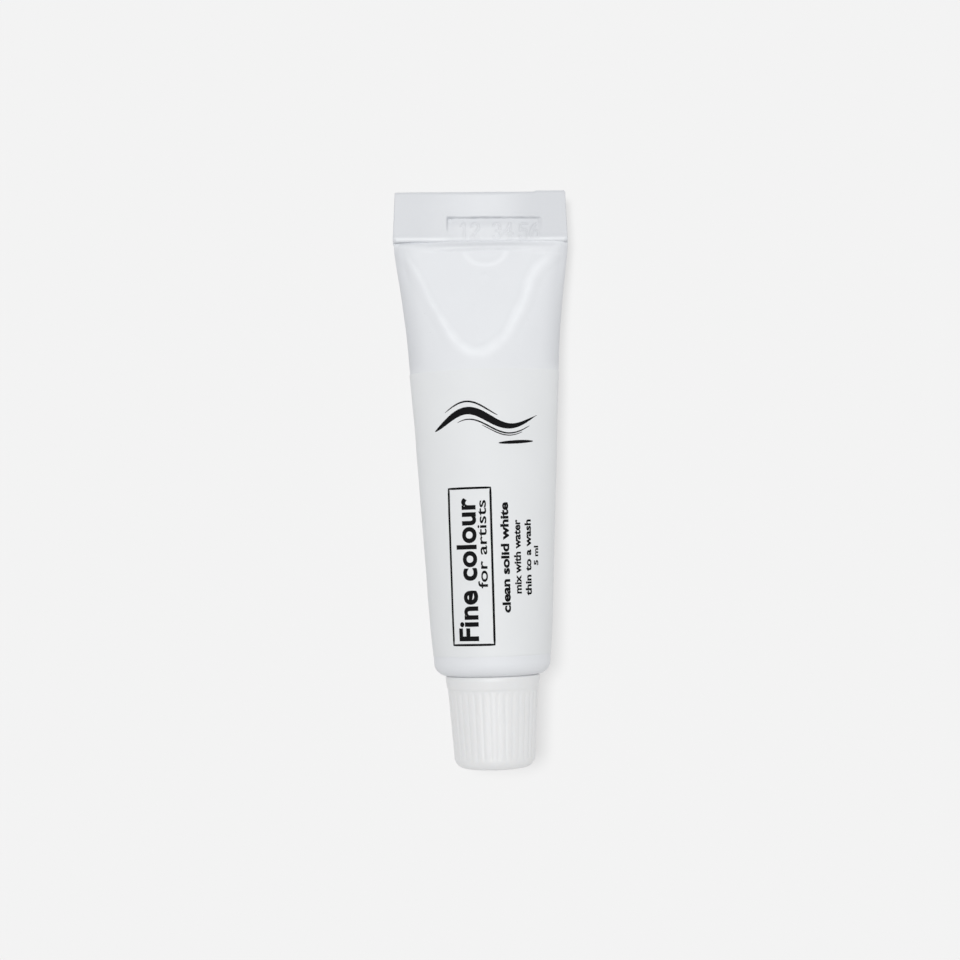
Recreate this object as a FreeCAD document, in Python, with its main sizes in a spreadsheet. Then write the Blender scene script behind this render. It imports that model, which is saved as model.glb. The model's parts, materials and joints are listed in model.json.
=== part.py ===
import FreeCAD, Part
import math
import os
import Sketcher
from FreeCAD import Vector, Placement, Rotation

# Collapsible aluminium paint tube lying on its back.
#
# Tube frame used while modelling (millimetres):
#   X  across the tube
#   Y  along the tube axis, 0 at the shoulder corner, + towards the fold
#   Z  through the thickness, + is the printed front
# Every finished piece gets one common Placement that tips the axis until
# the straight back line of the label lies on the Z = 0 plane.

os.makedirs("parts", exist_ok=True)
doc = FreeCAD.newDocument("paint_tube")

# ------------------------------------------------------------------ sheet
sheet = doc.addObject("Spreadsheet::Sheet", "dims")
CELLS = [
    # sleeve
    ("tube_radius", 6.75),        # 13.5 mm tube
    ("wall", 0.12),               # aluminium wall
    ("sleeve_start", 0.90),
    ("sleeve_end", 49.00),
    ("cavity_end", 48.40),
    ("back_slope", 0.0641),       # the back line closes in this much per mm
    ("back_flat", 0.14),          # depth of the flat along the back
    # shoulder and nozzle
    ("ring_radius", 6.70),
    ("ring_inner", 6.50),
    ("ring_top", 1.60),
    ("seat_radius", 6.74),
    ("seat_top", 0.95),
    ("shoulder_edge", -1.05),
    ("shoulder_foot", -1.85),
    ("shoulder_fillet", 1.50),
    ("nozzle_foot_radius", 3.45),
    ("nozzle_radius", 3.05),
    ("nozzle_foot", -2.10),
    ("nozzle_tip", -9.90),
    ("nozzle_tip_radius", 2.75),
    ("nozzle_chamfer", -9.60),
    ("orifice_radius", 1.60),
    ("orifice_top", -1.42),
    ("inner_cone_radius", 5.80),
    ("inner_cone_top", -0.70),
    ("inner_corner", 0.25),
    # thread
    ("thread_pitch", 1.00),
    ("thread_crest", 3.50),
    ("thread_embed", 2.95),
    ("thread_half_root", 0.30),
    ("thread_half_crest", 0.12),
    ("nozzle_thread_start", -9.00),
    ("nozzle_thread_height", 5.60),
    ("cap_thread_start", -9.50),
    ("cap_thread_height", 5.60),
    ("cap_thread_crest", 3.12),
    ("cap_thread_embed", 3.70),
    # fold
    ("fold_half_width", 10.26),
    ("fold_start", 48.60),
    ("fold_top", 54.65),
    ("fold_bottom", 49.42),
    ("layer_pitch", 0.33),
    ("layer_half", 0.15),
    ("fold_skew", -1.20),
    ("raw_end_gap", 0.62),
    ("sealant_half", 0.04),
    ("sealant_gap", 0.02),
    ("sealant_start", 50.20),
    ("sealant_half_width", 10.00),
    # label
    ("label_start", 1.00),
    ("label_end", 34.50),
    ("label_gap", 0.005),
    ("label_thick", 0.07),
    # paint
    ("paint_gap", 0.03),
    ("paint_end", 47.40),
    # cap
    ("cap_rim", -1.75),
    ("cap_rim_inner", 4.60),
    ("cap_rim_outer", 5.36),
    ("cap_rim_edge", -1.85),
    ("cap_collar_top", 5.46),
    ("cap_collar_end", -3.00),
    ("cap_collar_end_radius", 5.29),
    ("cap_skirt_top", -3.12),
    ("cap_skirt_top_radius", 5.23),
    ("cap_end", -12.34),
    ("cap_end_radius", 4.60),
    ("cap_end_fillet", 1.25),
    ("cap_recess_end", -2.60),
    ("cap_bore_start", -2.95),
    ("cap_bore", 3.57),
    ("cap_bore_end", -10.45),
    ("rib_count", 36),
    ("rib_depth", 0.13),
    ("rib_half_width", 0.20),
    ("rib_top", -3.35),
    ("rib_bottom", -11.35),
    # liner
    ("liner_radius", 3.52),
    ("liner_face", -9.92),
    ("liner_thick", 0.50),
    # placement of the whole tube
    ("rest_tilt", 3.66752),
    ("origin_x", 0.007),
    ("origin_y", -21.1935),
    ("origin_z", 6.8733),
]
for i, (alias, value) in enumerate(CELLS):
    cell = "B%d" % (i + 1)
    sheet.set("A%d" % (i + 1), alias)
    sheet.set(cell, str(value))
    sheet.setAlias(cell, alias)
doc.recompute()


def val(alias):
    return float(sheet.get(alias))


def calc(expr):
    """Number for a small expression of sheet aliases: terms joined by + or -."""
    total, sign, word = 0.0, 1.0, ""
    for ch in expr.replace(" ", "") + "+":
        if ch in "+-" and word:
            try:
                total += sign * float(word)
            except ValueError:
                total += sign * val(word)
            sign, word = (1.0 if ch == "+" else -1.0), ""
        elif ch in "+-":
            sign = 1.0 if ch == "+" else -1.0
        else:
            word += ch
    return total


def bound(expr):
    """The same expression with every alias pointed at the sheet."""
    out, word = "", ""
    for ch in expr.replace(" ", "") + " ":
        if ch in "+- ":
            if word:
                try:
                    float(word)
                    out += word
                except ValueError:
                    out += "dims." + word
                word = ""
            out += ch
        else:
            word += ch
    return out.strip()


def plane(body, role):
    for feature in body.Origin.OriginFeatures:
        if feature.Role == role:
            return feature
    raise RuntimeError("no " + role)


def poly_sketch(body, name, role, corners, offset=None):
    """Closed polygon whose corners are all driven by sheet expressions."""
    sk = body.newObject("Sketcher::SketchObject", name)
    sk.AttachmentSupport = [(plane(body, role), "")]
    sk.MapMode = "FlatFace"
    if offset is not None:
        sk.setExpression("AttachmentOffset.Base.z", bound(offset))
    points = [Vector(calc(cx), calc(cy), 0) for cx, cy in corners]
    count = len(points)
    for i in range(count):
        sk.addGeometry(Part.LineSegment(points[i], points[(i + 1) % count]), False)
    for i in range(count):
        sk.addConstraint(Sketcher.Constraint("Coincident", i, 2, (i + 1) % count, 1))
    for i, (cx, cy) in enumerate(corners):
        for kind, expr in (("DistanceX", cx), ("DistanceY", cy)):
            n = sk.addConstraint(Sketcher.Constraint(kind, i, 1, calc(expr)))
            sk.setExpression("Constraints[%d]" % n, bound(expr))
    return sk


def revolve(body, sk, name):
    rev = body.newObject("PartDesign::Revolution", name)
    rev.Profile = sk
    rev.ReferenceAxis = (sk, ["V_Axis"])
    rev.Angle = 360
    return rev


def ring_edges(shape, radius, level, tol=0.02):
    """Names of the circular edges about the axis at one radius and height."""
    names = []
    for i, edge in enumerate(shape.Edges):
        box = edge.BoundBox
        if abs(box.YMin - level) < tol and abs(box.YMax - level) < tol \
                and abs(box.XMax - radius) < tol:
            names.append("Edge%d" % (i + 1))
    return names


# ------------------------------------------------- shoulder and nozzle
neck = doc.addObject("PartDesign::Body", "neck")
neck_sk = poly_sketch(neck, "neck_profile", "XY_Plane", [
    ("ring_inner", "ring_top"),
    ("ring_radius", "ring_top"),
    ("ring_radius", "seat_top"),
    ("seat_radius", "seat_top"),
    ("seat_radius", "shoulder_edge"),
    ("nozzle_foot_radius", "shoulder_foot"),
    ("nozzle_radius", "nozzle_foot"),
    ("nozzle_radius", "nozzle_chamfer"),
    ("nozzle_tip_radius", "nozzle_tip"),
    ("orifice_radius", "nozzle_tip"),
    ("orifice_radius", "orifice_top"),
    ("inner_cone_radius", "inner_cone_top"),
    ("ring_inner", "inner_corner"),
])
neck_rev = revolve(neck, neck_sk, "neck_turned")
doc.recompute()
neck_fillet = neck.newObject("PartDesign::Fillet", "shoulder_round")
neck_fillet.Base = (neck_rev, ring_edges(neck_rev.Shape, val("seat_radius"), val("shoulder_edge")))
neck_fillet.setExpression("Radius", "dims.shoulder_fillet")
doc.recompute()
nt_sk = poly_sketch(neck, "nozzle_thread_profile", "XY_Plane", [
    ("thread_embed", "nozzle_thread_start-thread_half_root"),
    ("thread_crest", "nozzle_thread_start-thread_half_crest"),
    ("thread_crest", "nozzle_thread_start+thread_half_crest"),
    ("thread_embed", "nozzle_thread_start+thread_half_root"),
])
neck_thread = neck.newObject("PartDesign::AdditiveHelix", "nozzle_thread")
neck_thread.Profile = nt_sk
neck_thread.ReferenceAxis = (nt_sk, ["V_Axis"])
neck_thread.Mode = 0
neck_thread.setExpression("Pitch", "dims.thread_pitch")
neck_thread.setExpression("Height", "dims.nozzle_thread_height")
neck_thread.LeftHanded = False
neck.Tip = neck_thread
doc.recompute()

# ------------------------------------------------------------- sleeve
# (distance along the axis, half width, half thickness) of the outer skin.
# The back line is straight up to 35 mm, then closes to the flat fold.
R0 = val("tube_radius")
SLOPE = val("back_slope")
STATIONS = [
    (0.90, 6.75, None), (2.80, 6.93, None), (5.10, 7.07, None),
    (9.80, 7.33, None), (14.40, 7.58, None), (19.10, 7.83, None),
    (23.70, 8.09, None), (28.40, 8.35, None), (33.10, 8.66, None),
    (37.70, 8.99, 4.16), (41.00, 9.33, 3.45), (44.00, 9.71, 2.62),
    (46.50, 10.04, 1.78), (48.20, 10.23, 0.85), (49.00, 10.28, 0.17),
]


def half_thickness(s, given):
    if given is not None:
        return given
    return R0 - SLOPE * (s - val("sleeve_start"))


def section(s, a, b, count=48):
    # an ellipse with a narrow flat along its back, where the tube has lain
    flat = val("back_flat") * min(1.0, max(0.0, (s - 0.9) / 1.9)) \
        * min(1.0, max(0.0, (41.0 - s) / 4.0))
    pts = []
    for i in range(count):
        u = 2.0 * math.pi * i / count
        z = math.sin(u)
        z = b * z if z >= 0 else max((b + flat) * z, -b)
        pts.append(Vector(a * math.cos(u), s, z))
    curve = Part.BSplineCurve()
    curve.interpolate(Points=pts, PeriodicFlag=True)
    return Part.Wire([curve.toShape()])


def skin(offset, start=None, end=None):
    """Solid inside the sleeve skin moved in (-) or out (+) by offset.

    Every skin is lofted through the same stations, so the gaps between
    them stay even, and only then trimmed to its own length."""
    wires = []
    for s, a, b in STATIONS:
        b = half_thickness(s, b)
        wires.append(section(s, a + offset, b + offset))
    solid = Part.makeLoft(wires, True, False)
    if start is None and end is None:
        return solid
    low = start if start is not None else -5.0
    high = end if end is not None else 60.0
    return solid.common(Part.makeBox(40, high - low, 40, Vector(-20, low, -20)))


outer = skin(0.0)
cavity = skin(-val("wall"), end=val("cavity_end"))
sleeve = doc.addObject("Part::Feature", "sleeve")
sleeve.Shape = outer.cut(cavity)

# --------------------------------------------------------- folded end
# One flat strip (two walls) runs up, folds forward and down, then tucks
# its raw end up between the two outer layers.


def strip_outline(half, start, raw_gap):
    """Corner data of the folded strip in the Y-Z plane, as edges."""
    pitch = val("layer_pitch")
    top = val("fold_top") - pitch
    low = val("fold_bottom") + 0.5 * pitch
    z_c = pitch
    z_b = 2.0 * pitch
    raw = val("fold_top") - raw_gap
    big, small = pitch, 0.5 * pitch

    def p(y, z):
        return Vector(0, y, z)

    def arc(yc, zc, r, a0, a1):
        am = 0.5 * (a0 + a1)
        q = [p(yc + r * math.cos(a), zc + r * math.sin(a)) for a in (a0, am, a1)]
        return Part.Arc(q[0], q[1], q[2]).toShape()

    e = []
    # back side of the strip, from its start to the raw end
    e.append(Part.LineSegment(p(start, -half), p(top, -half)).toShape())
    e.append(arc(top, z_c, big + half, -math.pi / 2, math.pi / 2))
    e.append(Part.LineSegment(p(top, z_b + half), p(low, z_b + half)).toShape())
    e.append(arc(low, 1.5 * pitch, small + half, math.pi / 2, 3 * math.pi / 2))
    e.append(Part.LineSegment(p(low, z_c - half), p(raw, z_c - half)).toShape())
    e.append(Part.LineSegment(p(raw, z_c - half), p(raw, z_c + half)).toShape())
    # and back along the other side
    if small - half > 0.005:
        e.append(Part.LineSegment(p(raw, z_c + half), p(low, z_c + half)).toShape())
        e.append(arc(low, 1.5 * pitch, small - half, 3 * math.pi / 2, math.pi / 2))
        e.append(Part.LineSegment(p(low, z_b - half), p(top, z_b - half)).toShape())
    e.append(arc(top, z_c, big - half, math.pi / 2, -math.pi / 2))
    e.append(Part.LineSegment(p(top, half), p(start, half)).toShape())
    e.append(Part.LineSegment(p(start, half), p(start, -half)).toShape())
    return Part.Face(Part.Wire(e))


def strip_solid(half, start, raw_gap, half_width):
    face = strip_outline(half, start, raw_gap)
    face.translate(Vector(-half_width, 0, 0))
    solid = face.extrude(Vector(2 * half_width, 0, 0))
    mid = 0.5 * (val("fold_bottom") + val("fold_top"))
    solid.rotate(Vector(0, mid, 0), Vector(0, 0, 1), val("fold_skew"))
    # a cut against a larger box bakes the small turn into the faces
    return solid.common(Part.makeBox(60, 40, 20, Vector(-30, 30, -10)))


band = doc.addObject("Part::Feature", "fold_band")
band.Shape = strip_solid(val("layer_half"), val("fold_start"), val("raw_end_gap"),
                         val("fold_half_width"))
seal_cut = doc.addObject("Part::Feature", "sealant_space")
seal_cut.Shape = strip_solid(val("sealant_half"), val("sealant_start"),
                             val("raw_end_gap") - 0.05, val("sealant_half_width"))
band_open = doc.addObject("Part::Cut", "fold_band_open")
band_open.Base = band
band_open.Tool = seal_cut

tube_body = doc.addObject("Part::MultiFuse", "tube_body")
tube_body.Shapes = [sleeve, neck, band_open]

fold_sealant = doc.addObject("Part::Feature", "fold_sealant")
fold_sealant.Shape = strip_solid(val("sealant_half") - val("sealant_gap"),
                                 val("sealant_start") + val("sealant_gap"),
                                 val("raw_end_gap"),
                                 val("sealant_half_width") - val("sealant_gap"))

# -------------------------------------------------------------- label
label_outer = skin(val("label_gap") + val("label_thick"),
                   val("label_start"), val("label_end"))
label = doc.addObject("Part::Feature", "label")
label.Shape = label_outer.cut(skin(val("label_gap")))

# -------------------------------------------------------------- paint
gap = val("paint_gap")
paint_upper = skin(-val("wall") - gap, val("ring_top") + gap, val("paint_end"))
profile = [
    (0.0, val("nozzle_tip") + gap), (val("orifice_radius") - gap, val("nozzle_tip") + gap),
    (val("orifice_radius") - gap, val("orifice_top") + gap),
    (val("inner_cone_radius") - gap, val("inner_cone_top") + gap),
    (val("ring_inner") - gap, val("inner_corner") + gap),
    (val("ring_inner") - gap, val("ring_top") + 0.5), (0.0, val("ring_top") + 0.5),
]
ring = [Vector(r, y, 0) for r, y in profile]
paint_lower = Part.Face(Part.makePolygon(ring + [ring[0]])).revolve(
    Vector(0, 0, 0), Vector(0, 1, 0), 360)
paint = doc.addObject("Part::Feature", "paint")
paint.Shape = paint_upper.fuse(paint_lower)

# ---------------------------------------------------------------- cap
cap = doc.addObject("PartDesign::Body", "cap")
cap_sk = poly_sketch(cap, "cap_profile", "XY_Plane", [
    ("cap_rim_inner", "cap_rim"),
    ("cap_rim_outer", "cap_rim"),
    ("cap_collar_top", "cap_rim_edge"),
    ("cap_collar_end_radius", "cap_collar_end"),
    ("cap_skirt_top_radius", "cap_skirt_top"),
    ("cap_end_radius", "cap_end"),
    ("0", "cap_end"),
    ("0", "cap_bore_end"),
    ("cap_bore", "cap_bore_end"),
    ("cap_bore", "cap_bore_start"),
    ("cap_rim_inner", "cap_recess_end"),
])
cap_rev = revolve(cap, cap_sk, "cap_turned")
doc.recompute()
cap_round = cap.newObject("PartDesign::Fillet", "cap_end_round")
cap_round.Base = (cap_rev, ring_edges(cap_rev.Shape, val("cap_end_radius"), val("cap_end")))
cap_round.setExpression("Radius", "dims.cap_end_fillet")
doc.recompute()
ct_sk = poly_sketch(cap, "cap_thread_profile", "XY_Plane", [
    ("cap_thread_embed", "cap_thread_start-thread_half_root"),
    ("cap_thread_crest", "cap_thread_start-thread_half_crest"),
    ("cap_thread_crest", "cap_thread_start+thread_half_crest"),
    ("cap_thread_embed", "cap_thread_start+thread_half_root"),
])
cap_thread = cap.newObject("PartDesign::AdditiveHelix", "cap_thread")
cap_thread.Profile = ct_sk
cap_thread.ReferenceAxis = (ct_sk, ["V_Axis"])
cap_thread.Mode = 0
cap_thread.setExpression("Pitch", "dims.thread_pitch")
cap_thread.setExpression("Height", "dims.cap_thread_height")
cap_thread.LeftHanded = False
doc.recompute()

# fine grip grooves down the tapered skirt
slope_cap = (val("cap_skirt_top_radius") - val("cap_end_radius")) / \
    (val("cap_skirt_top") - val("cap_end"))
for name, level in (("rib_top_radius", "rib_top"), ("rib_bottom_radius", "rib_bottom")):
    row = len(CELLS) + 1
    CELLS.append((name, 0))
    sheet.set("A%d" % row, name)
    sheet.set("B%d" % row, "%.5f" % (val("cap_end_radius") +
                                     slope_cap * (val(level) - val("cap_end"))))
    sheet.setAlias("B%d" % row, name)
doc.recompute()
# the XZ plane's normal points along -Y, so an offset of -y lands at height y
groove_a = poly_sketch(cap, "groove_upper", "XZ_Plane", [
    ("0-rib_half_width", "rib_top_radius+0.05"),
    ("rib_half_width", "rib_top_radius+0.05"),
    ("0", "rib_top_radius-rib_depth"),
], offset="0-rib_top")
groove_b = poly_sketch(cap, "groove_lower", "XZ_Plane", [
    ("0-rib_half_width", "rib_bottom_radius+0.05"),
    ("rib_half_width", "rib_bottom_radius+0.05"),
    ("0", "rib_bottom_radius-rib_depth"),
], offset="0-rib_bottom")
doc.recompute()
before = cap_thread.Shape.Volume
groove = cap.newObject("PartDesign::SubtractiveLoft", "grip_groove")
groove.Profile = groove_a
groove.Sections = [groove_b]
groove.Ruled = True
doc.recompute()
if not groove.Shape.Volume < before - 0.05:
    raise RuntimeError("grip groove cut nothing")
grooves = cap.newObject("PartDesign::PolarPattern", "grip_grooves")
grooves.Originals = [groove]
grooves.Axis = (cap_sk, ["V_Axis"])
grooves.Angle = 360
grooves.setExpression("Occurrences", "dims.rib_count")
cap.Tip = grooves
doc.recompute()

# -------------------------------------------------------------- liner
liner = doc.addObject("PartDesign::Body", "cap_liner")
liner_sk = poly_sketch(liner, "liner_profile", "XY_Plane", [
    ("0", "liner_face"),
    ("liner_radius", "liner_face"),
    ("liner_radius", "liner_face-liner_thick"),
    ("0", "liner_face-liner_thick"),
])
liner_rev = revolve(liner, liner_sk, "liner_disc")
liner.Tip = liner_rev
doc.recompute()

# -------------------------------------------------- place and export
rest = Placement(Vector(val("origin_x"), val("origin_y"), val("origin_z")),
                 Rotation(Vector(1, 0, 0), -val("rest_tilt")))
NODES = {
    "tube_body": tube_body, "fold_sealant": fold_sealant, "label": label,
    "paint": paint, "cap": cap, "cap_liner": liner,
}
for name, obj in NODES.items():
    obj.Label = name
    obj.Placement = rest
doc.recompute()

for obj in doc.Objects:
    if "Invalid" in obj.State or "Error" in obj.State:
        raise RuntimeError("failed feature: %s %s" % (obj.Name, obj.State))
for name, obj in NODES.items():
    shape = obj.Shape
    if shape.isNull() or not shape.isValid():
        raise RuntimeError("bad shape: " + name)

low = [1e9] * 3
high = [-1e9] * 3
for name, obj in NODES.items():
    shape = obj.Shape
    verts = shape.tessellate(0.01)[0]
    for v in verts:
        for k in range(3):
            low[k] = min(low[k], v[k])
            high[k] = max(high[k], v[k])
    print("%-14s solids %d faces %3d volume %9.3f" % (
        name, len(shape.Solids), len(shape.Faces), shape.Volume))
    shape.exportStep("parts/%s.step" % name)
print("box low  %.4f %.4f %.4f" % tuple(low))
print("box high %.4f %.4f %.4f" % tuple(high))
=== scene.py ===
"""Looks of the paint tube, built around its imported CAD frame."""
import json
import math

import bmesh
import bpy
import numpy as np
from mathutils import Matrix, Vector

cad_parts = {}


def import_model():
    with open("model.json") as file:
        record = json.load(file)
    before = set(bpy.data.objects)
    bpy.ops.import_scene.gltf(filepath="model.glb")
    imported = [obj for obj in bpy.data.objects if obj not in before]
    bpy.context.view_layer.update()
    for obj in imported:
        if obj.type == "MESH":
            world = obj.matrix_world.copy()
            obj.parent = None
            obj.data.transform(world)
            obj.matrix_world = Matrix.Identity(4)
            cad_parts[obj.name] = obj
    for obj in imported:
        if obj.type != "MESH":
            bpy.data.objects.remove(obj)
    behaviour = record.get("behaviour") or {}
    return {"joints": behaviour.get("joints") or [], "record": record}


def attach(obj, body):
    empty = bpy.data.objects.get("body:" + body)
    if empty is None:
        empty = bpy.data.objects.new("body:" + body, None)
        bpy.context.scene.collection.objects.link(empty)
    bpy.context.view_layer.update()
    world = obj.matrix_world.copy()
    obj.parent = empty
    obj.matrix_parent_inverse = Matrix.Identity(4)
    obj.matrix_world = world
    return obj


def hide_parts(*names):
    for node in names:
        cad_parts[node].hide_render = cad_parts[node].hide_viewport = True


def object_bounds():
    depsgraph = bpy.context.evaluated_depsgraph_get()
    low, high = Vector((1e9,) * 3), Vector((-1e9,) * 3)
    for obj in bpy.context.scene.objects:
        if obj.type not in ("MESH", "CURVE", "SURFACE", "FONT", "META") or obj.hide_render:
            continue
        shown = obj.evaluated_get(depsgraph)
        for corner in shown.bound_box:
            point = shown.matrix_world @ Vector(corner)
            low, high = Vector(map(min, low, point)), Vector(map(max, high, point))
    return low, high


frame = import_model()


def corners(bounds):
    return [[float(c) for c in p] for p in bounds]


CAD_BOUNDS = corners(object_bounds())

# ------------------------------------------------------------------ frame
# Tube frame in millimetres: x across, s along the axis (0 at the shoulder,
# + towards the fold), t through the thickness, + is the printed front.
# Its place comes from the cap joint and the cap's end face.
TURN = next(j for j in frame["joints"] if j["name"] == "cap_turn")
END = next(m for m in frame["record"]["mounts"] if m["name"] == "cap_end")
OUT = np.array(TURN["axis"], float)
OUT /= np.linalg.norm(OUT)
SDIR = -OUT
XDIR = np.array([1.0, 0.0, 0.0])
TDIR = np.cross(XDIR, SDIR)
CAP_LEN = 12.34
ORIGIN = np.array(END["pos_m"], float) * 1000.0 + SDIR * CAP_LEN
PITCH = 1.0


def world(x, s, t):
    """Tube-frame millimetres to world metres, for arrays of any one shape."""
    x, s, t = np.broadcast_arrays(x, s, t)
    p = ORIGIN + x[..., None] * XDIR + s[..., None] * SDIR + t[..., None] * TDIR
    return p / 1000.0


def smooth(a, b, v):
    k = np.clip((np.asarray(v, float) - a) / (b - a), 0.0, 1.0)
    return k * k * (3.0 - 2.0 * k)


def pchip(xs, ys):
    """Monotone cubic through a few points, as a function."""
    xs, ys = np.array(xs, float), np.array(ys, float)
    h = np.diff(xs)
    d = np.diff(ys) / h
    m = np.zeros(len(xs))
    for i in range(1, len(xs) - 1):
        if d[i - 1] * d[i] > 0:
            w1, w2 = 2 * h[i] + h[i - 1], h[i] + 2 * h[i - 1]
            m[i] = (w1 + w2) / (w1 / d[i - 1] + w2 / d[i])
    m[0], m[-1] = d[0], d[-1]

    def f(v):
        v = np.clip(np.asarray(v, float), xs[0], xs[-1])
        i = np.clip(np.searchsorted(xs, v, side="right") - 1, 0, len(xs) - 2)
        k = (v - xs[i]) / h[i]
        a = 2 * k ** 3 - 3 * k ** 2 + 1
        b = k ** 3 - 2 * k ** 2 + k
        c = -2 * k ** 3 + 3 * k ** 2
        e = k ** 3 - k ** 2
        return a * ys[i] + b * h[i] * m[i] + c * ys[i + 1] + e * h[i] * m[i + 1]
    return f


# smooth value noise on a fixed lattice, the same every run
_LATTICE = np.random.RandomState(7).rand(64, 64)


def noise(u, v, wrap_u=None):
    """Value noise in -1..1; wrap_u makes it repeat in u."""
    u, v = np.asarray(u, float), np.asarray(v, float)
    iu, iv = np.floor(u).astype(int), np.floor(v).astype(int)
    fu, fv = u - iu, v - iv
    fu, fv = fu * fu * (3 - 2 * fu), fv * fv * (3 - 2 * fv)
    pu = (lambda q: q % wrap_u) if wrap_u else (lambda q: q % 64)
    a = _LATTICE[pu(iu), iv % 64]
    b = _LATTICE[pu(iu + 1), iv % 64]
    c = _LATTICE[pu(iu), (iv + 1) % 64]
    d = _LATTICE[pu(iu + 1), (iv + 1) % 64]
    return 2 * ((a * (1 - fu) + b * fu) * (1 - fv) + (c * (1 - fu) + d * fu) * fv) - 1


# ---------------------------------------------------------------- sleeve
SLOPE = 0.0641
half_w = pchip(
    [0.90, 2.80, 5.10, 9.80, 14.40, 19.10, 23.70, 28.40, 33.10, 37.70, 41.00, 44.00, 46.50, 48.20, 49.20],
    [6.75, 6.93, 7.07, 7.33, 7.58, 7.83, 8.09, 8.35, 8.66, 8.99, 9.33, 9.71, 10.04, 10.22, 10.27])
front_b = pchip(
    [0.90, 5.0, 10.0, 20.0, 30.0, 33.0, 34.4, 35.40, 37.50, 39.80, 42.10, 44.00, 46.60, 47.60, 48.10, 48.50, 48.85, 49.20],
    [6.75, 6.4872, 6.1667, 5.5257, 4.8847, 4.6924, 4.6027, 4.52, 4.23, 3.80, 3.28, 2.76, 1.98, 1.58, 1.30, 1.00, 0.72, 0.45])
back_b = pchip(
    [0.90, 5.0, 10.0, 20.0, 30.0, 33.0, 34.4, 35.40, 37.50, 39.80, 42.10, 44.00, 46.80, 47.95, 48.45, 48.80, 49.20],
    [6.75, 6.4872, 6.1667, 5.5257, 4.8847, 4.6924, 4.6027, 4.53, 4.24, 3.80, 3.24, 2.66, 1.72, 1.20, 0.80, 0.20, 0.15])

# outline of the flat tongue pressed into the front when the end was closed
TONGUE = np.array([
    (-9.70, 48.20), (-8.93, 46.60), (-7.55, 44.17), (-6.55, 41.48), (-5.20, 39.00),
    (-3.98, 36.57), (-2.75, 35.15), (-1.39, 34.55), (0.00, 34.55), (0.91, 34.96),
    (2.44, 36.26), (3.38, 37.17), (4.27, 39.23), (5.37, 41.10), (5.92, 43.09),
    (6.56, 44.68), (8.01, 45.95), (9.70, 47.60)])


def resample(poly, step=0.25):
    out = []
    for (x0, y0), (x1, y1) in zip(poly[:-1], poly[1:]):
        n = max(1, int(math.hypot(x1 - x0, y1 - y0) / step))
        for i in range(n):
            k = i / n
            out.append((x0 + k * (x1 - x0), y0 + k * (y1 - y0)))
    out.append(tuple(poly[-1]))
    return np.array(out)


def relax(poly, rounds):
    p = poly.copy()
    for _ in range(rounds):
        p[1:-1] = 0.25 * p[:-2] + 0.5 * p[1:-1] + 0.25 * p[2:]
    return p


TONGUE_LINE = relax(resample(TONGUE), 14)


def tongue_depth(x, s, line):
    """Signed distance inside the tongue outline, + inside (mm)."""
    shape = x.shape
    p = np.stack([x.ravel(), s.ravel()], 1)
    best = np.full(len(p), 1e9)
    a, b = line[:-1], line[1:]
    for i in range(len(a)):
        ab = b[i] - a[i]
        k = np.clip(((p - a[i]) @ ab) / max(ab @ ab, 1e-9), 0, 1)
        q = a[i] + k[:, None] * ab
        best = np.minimum(best, np.hypot(*(p - q).T))
    left = np.interp(p[:, 1], line[: len(line) // 2][::-1, 1], line[: len(line) // 2][::-1, 0])
    tip = int(np.argmin(line[:, 1]))
    lx = np.interp(p[:, 1], line[: tip + 1][::-1, 1], line[: tip + 1][::-1, 0])
    rx = np.interp(p[:, 1], line[tip:, 1], line[tip:, 0])
    inside = (p[:, 1] > line[tip, 1]) & (p[:, 0] > lx) & (p[:, 0] < rx)
    return np.where(inside, best, -best).reshape(shape)


def facet(s, tip_t, top_t, tip_s=34.6, top_s=47.80):
    return tip_t + (top_t - tip_t) * (s - tip_s) / (top_s - tip_s)


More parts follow.
